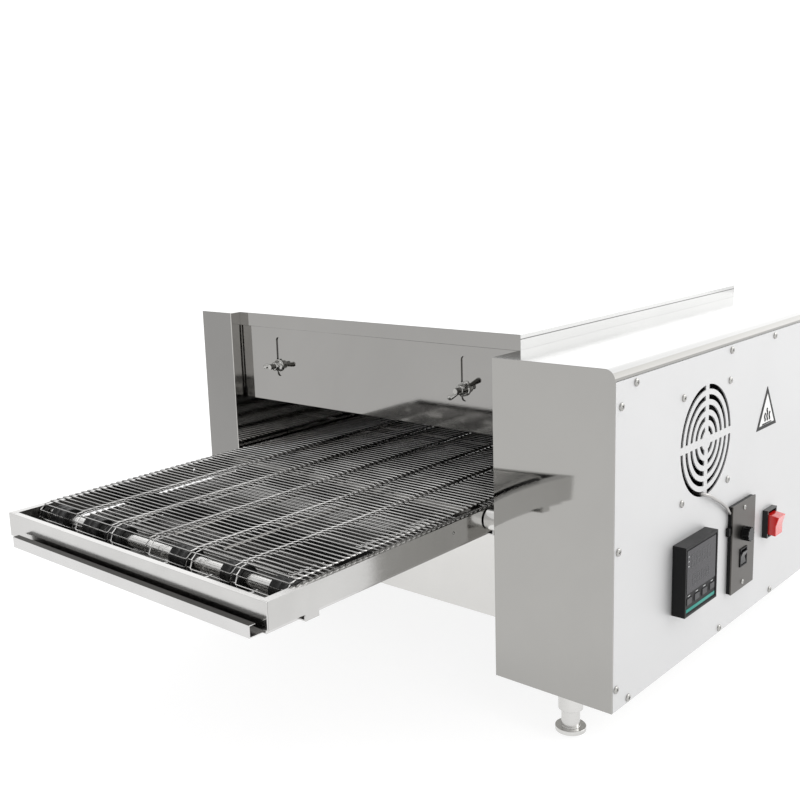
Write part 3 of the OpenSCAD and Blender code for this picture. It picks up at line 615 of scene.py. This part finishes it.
def fast_tubes(name, lines, r, sides, mat, body, nodes):
    """Many round tubes in one mesh, with their rings worked out together."""
    verts, faces = [], []
    base = 0
    ang = [2 * math.pi * k / sides for k in range(sides)]
    cs = np.cos(ang)[None, :, None]
    sn = np.sin(ang)[None, :, None]
    for pts in lines:
        p = np.array(pts, float)
        t = np.empty_like(p)
        t[1:-1] = p[2:] - p[:-2]
        t[0], t[-1] = p[1] - p[0], p[-1] - p[-2]
        t /= np.linalg.norm(t, axis=1)[:, None]
        u = np.empty_like(p)
        prev = None
        for i in range(len(p)):
            if prev is None:
                a = np.array((0.0, 0.0, 1.0)) if abs(t[i][2]) < 0.9 else np.array((0.0, 1.0, 0.0))
            else:
                a = prev
            w = a - t[i] * (a @ t[i])
            prev = w / np.linalg.norm(w)
            u[i] = prev
        v = np.cross(t, u)
        ring = p[:, None, :] + (u[:, None, :] * cs + v[:, None, :] * sn) * r
        verts.append(ring.reshape(-1, 3))
        n = len(p)
        for i in range(n - 1):
            for k in range(sides):
                k2 = (k + 1) % sides
                faces.append((base + i * sides + k, base + i * sides + k2, base + (i + 1) * sides + k2, base + (i + 1) * sides + k))
        faces.append(tuple(base + k for k in range(sides))[::-1])
        faces.append(tuple(base + (n - 1) * sides + k for k in range(sides)))
        base += n * sides
    me = bpy.data.meshes.new(name)
    me.from_pydata(np.concatenate(verts).tolist(), [], faces)
    me.validate()
    me.update()
    o = bpy.data.objects.new(name, me)
    scene.collection.objects.link(o)
    return finish_mesh(o, mat, body, nodes, 60.0)


fast_tubes("conveyor_belt_wires", [strand(k) for k in range(COUNT)], WIRE_R * MM, 5, M["wire"],
           body_of_node("conveyor_belt"), ["conveyor_belt"])


# ------------------------------------------------------------------ idler rollers with grooved rims
for node, y in (("front_idler_wheels", Y_A), ("rear_idler_wheels", Y_B)):
    bm = bmesh.new()
    lo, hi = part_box(node)
    cy, cz = (lo.y + hi.y) / 2, (lo.z + hi.z) / 2
    for x in (-366, -308, -270, -169, -98, -36.5):
        X = P(x, 0, 0).x
        half = [(6.05, 12.0), (8.0, 12.0), (8.2, 11.2), (10.6, 11.2), (10.9, 12.0), (11.5, 12.0), (12.0, 11.5), (12.0, 7.0),
                (11.75, 6.6), (11.75, 1.0), (12.0, 0.6)]
        prof = [(r, -h) for r, h in half] + [(r, h) for r, h in half[::-1]]
        ring = lathe_into(bm, prof, (X, cy, cz), (1, 0, 0), 40)
    # open the end caps that lathe_into closes: the shaft runs through them
    bmesh.ops.delete(bm, geom=[f for f in bm.faces if len(f.verts) == 40], context="FACES")
    from_bm(bm, node + "_piece", M["roller"], body_of_node(node), [node], 35.0)


# ------------------------------------------------------------------ pan-head screws with a cross recess
def screw_template(rh, h, segs=32):
    bm = bmesh.new()
    prof = [(0, -0.3), (rh * 0.98, -0.3), (rh, 0.0), (rh, 0.35 * h), (rh * 0.94, 0.62 * h), (rh * 0.78, 0.85 * h), (rh * 0.5, 0.97 * h), (0, h)]
    lathe_into(bm, prof, (0, 0, 0), (0, 0, 1), segs)
    bmesh.ops.recalc_face_normals(bm, faces=bm.faces[:])
    me = bpy.data.meshes.new("screw_tmp")
    bm.to_mesh(me)
    bm.free()
    body = bpy.data.objects.new("screw_tmp", me)
    scene.collection.objects.link(body)
    cut = bmesh.new()
    w, l = rh * 0.13 * MM, rh * 0.55 * MM
    for a, b in ((w, l), (l, w)):
        g = bmesh.ops.create_cube(cut, size=1.0)
        for v in g["verts"]:
            top = v.co.z > 0
            k = 1.0 if top else 0.55
            v.co = Vector((v.co.x * 2 * a * k, v.co.y * 2 * b * k, (h + 0.4) * MM if top else h * 0.35 * MM))
    cm = bpy.data.meshes.new("cut_tmp")
    cut.to_mesh(cm)
    cut.free()
    cutter = bpy.data.objects.new("cut_tmp", cm)
    scene.collection.objects.link(cutter)
    md = body.modifiers.new("cut", "BOOLEAN")
    md.operation, md.solver, md.object, md.use_self = "DIFFERENCE", "EXACT", cutter, True
    bpy.context.view_layer.update()
    dg = bpy.context.evaluated_depsgraph_get()
    out = bpy.data.meshes.new_from_object(body.evaluated_get(dg))
    bpy.data.objects.remove(body)
    bpy.data.objects.remove(cutter)
    return out


SCREWS = [(38, 303), (239, 303), (351, 303), (552, 303), (11.6, 285.6), (8.5, 153.5), (6.7, 22), (578.4, 285.6),
          (581.5, 153.5), (583.3, 22), (29.4, 5.2), (227, 5.2), (363, 5.2), (560.6, 5.2)]
FAN = (184.6, 219.4)
FAN_SCREWS = [(FAN[0] + a, FAN[1] + b) for a in (-52.5, 52.5) for b in (-52.5, 52.5)]


def add_screws(bm, tmpl, places):
    """places: (x, y, z, turn) in design mm; heads face +X."""
    for i, (x, y, z, turn) in enumerate(places):
        t = tmpl.copy()
        mt = (Matrix.Translation(P(x, y, z)) @ Matrix.Rotation(R(90), 4, "Y") @ Matrix.Rotation(R(turn), 4, "Z"))
        t.transform(mt)
        bm.from_mesh(t)
        bpy.data.meshes.remove(t)


bm = bmesh.new()
big = screw_template(3.8, 2.0)
small = screw_template(2.8, 1.3)
nlo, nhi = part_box("panel_screws")
add_screws(bm, big, [(128.0, y, z, (i * 37) % 90) for i, (y, z) in enumerate(SCREWS + FAN_SCREWS)])
add_screws(bm, small, [(133.5, 271.2, 44.7, 20), (133.5, 271.2, 128.7, 65)])
from_bm(bm, "panel_screws_piece", M["screw"], body_of_node("panel_screws"), ["panel_screws"], 30.0)


# ------------------------------------------------------------------ threaded studs of the baffles
def thread_into(bm, origin, axis, r, depth, pitch, length, segs=20):
    """A helical V thread as a turned skin: the radius follows the turn and the height."""
    origin, axis = Vector(origin), Vector(axis).normalized()
    ref = Vector((0, 0, 1)) if abs(axis.z) < 0.9 else Vector((1, 0, 0))
    u = (ref - axis * ref.dot(axis)).normalized()
    v = axis.cross(u)
    rows = int(length / pitch * 4) + 1
    grid = []
    for i in range(rows):
        h = length * i / (rows - 1)
        row = []
        for k in range(segs):
            ph = (h / pitch - k / segs) % 1.0
            rr = r - depth * abs(2 * ph - 1.0)
            if i in (0, rows - 1):
                rr = r - depth
            a = 2 * math.pi * k / segs
            row.append(bm.verts.new(origin + axis * h * MM + (u * math.cos(a) + v * math.sin(a)) * rr * MM))
        grid.append(row)
    for a, b in zip(grid, grid[1:]):
        for k in range(segs):
            k2 = (k + 1) % segs
            bm.faces.new((a[k], a[k2], b[k2], b[k]))
    bm.faces.new(list(reversed(grid[0])))
    bm.faces.new(grid[-1])


bm = bmesh.new()
for x in (-344, -70):
    thread_into(bm, P(x, 33.95, 274), (0, 1, 0), 3.0, 0.35, 1.0, 15.0)
    thread_into(bm, P(x, 556.05, 274), (0, -1, 0), 3.0, 0.35, 1.0, 15.0)
from_bm(bm, "baffle_stud_threads", M["screw"], body_of_node("upper_walls"), smooth=25.0)


# ------------------------------------------------------------------ temperature controller face
root = body_of_node("temp_controller")
clo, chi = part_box("temp_controller")
CX = 142.0
bm = bmesh.new()
slab_into(bm, P(CX - 1.02, 119.2, 80.5), P(CX - 0.35, 182.8, 124.8), 0.25)
from_bm(bm, "controller_window", M["glass"], root, smooth=30.0, weighted=True)
bm = bmesh.new()
slab_into(bm, P(CX - 0.99, 119.2, 61.2), P(CX - 0.72, 182.8, 64.6), 0.08)
from_bm(bm, "controller_stripe", M["teal"], root, smooth=30.0)
bm = bmesh.new()


def seg_digit(bm, y0, z0, w, h, t, x0, x1):
    for a, b, c, d in ((y0 + t, z0, y0 + w - t, z0 + t), (y0 + t, z0 + h / 2 - t / 2, y0 + w - t, z0 + h / 2 + t / 2),
                       (y0 + t, z0 + h - t, y0 + w - t, z0 + h), (y0, z0 + t * 0.6, y0 + t, z0 + h / 2 - t * 0.3),
                       (y0, z0 + h / 2 + t * 0.3, y0 + t, z0 + h - t * 0.6), (y0 + w - t, z0 + t * 0.6, y0 + w, z0 + h / 2 - t * 0.3),
                       (y0 + w - t, z0 + h / 2 + t * 0.3, y0 + w, z0 + h - t * 0.6)):
        slab_into(bm, P(x0, a, b), P(x1, c, d), 0.0)


for i in range(4):
    seg_digit(bm, 128.0 + 11.6 * i, 105.0, 8.2, 14.0, 1.3, CX - 0.36, CX - 0.26)
    seg_digit(bm, 131.0 + 10.0 * i, 86.5, 6.6, 11.0, 1.0, CX - 0.36, CX - 0.26)
from_bm(bm, "controller_unlit_digits", M["unlit"], root, smooth=30.0)
bm = bmesh.new()
for y in (125.5, 142.5, 159.5, 176.5):
    slab_into(bm, P(CX - 0.99, y - 2.4, 77.0), P(CX - 0.86, y + 2.4, 77.9), 0.0)
for z in (108.0, 113.0, 118.0):
    slab_into(bm, P(CX - 0.36, 121.4, z), P(CX - 0.26, 123.4, z + 1.1), 0.0)
from_bm(bm, "controller_marks", M["print"], root, smooth=30.0)


# ------------------------------------------------------------------ speed knob with a flared skirt and flutes, edges eased
body_name = body_of_node("speed_knob")
src = cad_bm("speed_knob")
bmesh.ops.dissolve_limit(src, angle_limit=R(0.6), use_dissolve_boundaries=False, verts=src.verts[:], edges=src.edges[:])
sharp = [e for e in src.edges if len(e.link_faces) == 2 and e.calc_face_angle(0.0) > R(25)]
bmesh.ops.bevel(src, geom=sharp, offset=0.35 * MM, offset_type="OFFSET", segments=2, profile=0.5, affect="EDGES", clamp_overlap=True)
from_bm(src, "speed_knob_piece", M["black_gloss"], body_name, ["speed_knob"], 38.0, True)

# ------------------------------------------------------------------ warning badge: plain outlined triangle, no symbol
blo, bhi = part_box("warning_badge")
src = cad_bm("warning_badge")
bmesh.ops.dissolve_limit(src, angle_limit=R(0.6), use_dissolve_boundaries=False, verts=src.verts[:], edges=src.edges[:])
from_bm(src, "warning_badge_piece", M["badge"], body_of_node("warning_badge"), ["warning_badge"], 30.0)
bm = bmesh.new()
apex, base_z, half_w = 224 + 25, 224 - 21, 27
cy, cz = 336.0, (apex + 2 * base_z) / 3.0
tri = [(-half_w, base_z), (half_w, base_z), (0, apex)]


def tri_ring(bm, s_out, s_in, x0, x1):
    """A flat triangular frame between two scales of the badge's outline."""
    loops = []
    for s in (s_out, s_in):
        for x in (x0, x1):
            loops.append([bm.verts.new(P(x, cy + a * s, cz + (b - cz) * s)) for a, b in tri])
    o0, o1, i0, i1 = loops
    for k in range(3):
        k2 = (k + 1) % 3
        bm.faces.new((o0[k], o0[k2], o1[k2], o1[k]))
        bm.faces.new((i0[k2], i0[k], i1[k], i1[k2]))
        bm.faces.new((o1[k], o1[k2], i1[k2], i1[k]))
        bm.faces.new((o0[k2], o0[k], i0[k], i0[k2]))


def tri_plate(bm, s, x0, x1):
    a = [bm.verts.new(P(x0, cy + p * s, cz + (q - cz) * s)) for p, q in tri]
    b = [bm.verts.new(P(x1, cy + p * s, cz + (q - cz) * s)) for p, q in tri]
    for k in range(3):
        bm.faces.new((a[k], a[(k + 1) % 3], b[(k + 1) % 3], b[k]))
    bm.faces.new(list(reversed(a)))
    bm.faces.new(b)


bm = bmesh.new()
tri_plate(bm, 0.74, 128.30, 128.48)
from_bm(bm, "warning_badge_field", M["badge_w"], body_of_node("warning_badge"), smooth=30.0)
bm = bmesh.new()
for dy in (-6.2, 0.0, 6.2):
    pts = [P(128.5, cy + dy + 0.9 * math.sin(i * 1.05), 211.0 + i * 1.15) for i in range(int(13 if dy == 0 else 9))]
    tube_into(bm, pts, 1.0 * MM, 8)
slab_into(bm, P(128.3, cy - 13.0, 207.2), P(128.6, cy + 13.0, 208.8), 0.1)
from_bm(bm, "warning_badge_marks", M["badge"], body_of_node("warning_badge"), smooth=40.0)


# ------------------------------------------------------------------ sensor lead: a braided sleeve between the grille and the speed control
LEAD = [(119, 176.5, 166.2), (124, 176.5, 166), (129, 177, 165.6), (132, 180, 164.6), (133.2, 186, 162), (133, 194, 158),
        (132.6, 203, 153.5), (132.2, 212, 149), (132, 221, 144), (132, 229, 138.5), (131.2, 234.5, 133.6), (130.5, 238.6, 130.9), (130.2, 241.5, 129)]


def smooth_path(pts, per=8):
    pts = [Vector(p) for p in pts]
    out = []
    for i in range(len(pts) - 1):
        p0, p1, p2, p3 = pts[max(0, i - 1)], pts[i], pts[i + 1], pts[min(len(pts) - 1, i + 2)]
        for j in range(per):
            t = j / per
            out.append(0.5 * ((2 * p1) + (p2 - p0) * t + (2 * p0 - 5 * p1 + 4 * p2 - p3) * t * t + (3 * p1 - p0 - 3 * p2 + p3) * t ** 3))
    out.append(pts[-1])
    return out


def braid_into(bm, path, r, sides=16, amp=0.12, turns_per_mm=0.28):
    pts = [P(*p) for p in path]
    n = len(pts)
    prev = None
    rings = []
    dist = 0.0
    for i, p in enumerate(pts):
        a, b = pts[max(0, i - 1)], pts[min(n - 1, i + 1)]
        t = (b - a).normalized()
        u = Vector((0, 0, 1)) if prev is None else prev
        u = (u - t * u.dot(t)).normalized()
        prev = u
        v = t.cross(u)
        if i:
            dist += (p - pts[i - 1]).length * 1000.0
        ring = []
        for k in range(sides):
            an = 2 * math.pi * k / sides
            w = math.sin(4 * (an + 2 * math.pi * turns_per_mm * dist / 4)) * math.sin(4 * (an - 2 * math.pi * turns_per_mm * dist / 4))
            ring.append(bm.verts.new(p + (u * math.cos(an) + v * math.sin(an)) * (r - amp + amp * w) * MM))
        rings.append(ring)
    for a, b in zip(rings, rings[1:]):
        for k in range(sides):
            k2 = (k + 1) % sides
            bm.faces.new((a[k], a[k2], b[k2], b[k]))
    bm.faces.new(list(reversed(rings[0])))
    bm.faces.new(rings[-1])


bm = bmesh.new()
braid_into(bm, smooth_path(LEAD, 12), 1.9)
from_bm(bm, "sensor_lead_piece", M["lead"], body_of_node("sensor_lead"), ["sensor_lead"], 60.0)


# ------------------------------------------------------------------ every CAD node that is still shown gets its material
SHOWN = {}
for n, o in frame["nodes"].items():
    if not o.hide_render:
        SHOWN[n] = o
        o.data.materials.clear()
        o.data.materials.append(M["panel"])
print("CAD nodes still shown:", sorted(SHOWN))


# ------------------------------------------------------------------ studio: pale floor, soft light
def stage_floor():
    bm = bmesh.new()
    bmesh.ops.create_grid(bm, x_segments=8, y_segments=8, size=14.0)
    me = bpy.data.meshes.new("studio_floor")
    bm.to_mesh(me)
    bm.free()
    o = bpy.data.objects.new("studio_floor", me)
    scene.collection.objects.link(o)
    mt, nt, b = new_mat("studio_floor", (0.8, 0.8, 0.8))
    b.inputs["Base Color"].default_value = (0.28, 0.28, 0.28, 1)
    b.inputs["Emission Color"].default_value = (1.0, 1.0, 1.0, 1)
    b.inputs["Emission Strength"].default_value = 0.81
    b.inputs["Roughness"].default_value = 0.9
    b.inputs["Specular IOR Level"].default_value = 0.1
    me.materials.append(mt)
    o.location = (0, 0, -0.0004)
    return o


stage_floor()

world = bpy.data.worlds.new("studio")
scene.world = world
world.use_nodes = True
nt = world.node_tree
bg = next(n for n in nt.nodes if n.type == "BACKGROUND")
tc = nt.nodes.new("ShaderNodeTexCoord")
dot = nt.nodes.new("ShaderNodeVectorMath")
dot.operation = "DOT_PRODUCT"
dot.inputs[1].default_value = (0.30, 0.90, -0.60)
nt.links.new(tc.outputs["Generated"], dot.inputs[0])
mr = nt.nodes.new("ShaderNodeMapRange")
mr.inputs["From Min"].default_value = -0.9
mr.inputs["From Max"].default_value = 0.9
mr.inputs["To Min"].default_value = 0.75
mr.inputs["To Max"].default_value = 2.1
nt.links.new(dot.outputs["Value"], mr.inputs["Value"])
nt.links.new(mr.outputs[0], bg.inputs["Strength"])
bg.inputs["Color"].default_value = (1.0, 1.0, 1.0, 1)


def area(name, loc, target, size, power):
    ld = bpy.data.lights.new(name, "AREA")
    ld.shape = "RECTANGLE"
    ld.size, ld.size_y = size
    ld.energy = power
    o = bpy.data.objects.new(name, ld)
    scene.collection.objects.link(o)
    o.location = loc
    o.rotation_euler = (Vector(target) - Vector(loc)).to_track_quat("-Z", "Y").to_euler()
    return o


area("key_right_back", (2.2, 1.6, 2.0), (0.4, 0.3, 0.1), (1.8, 1.8), 22.0)
area("top_soft", (0.2, 0.1, 2.4), (0.0, 0.0, 0.2), (2.2, 2.2), 10.0)
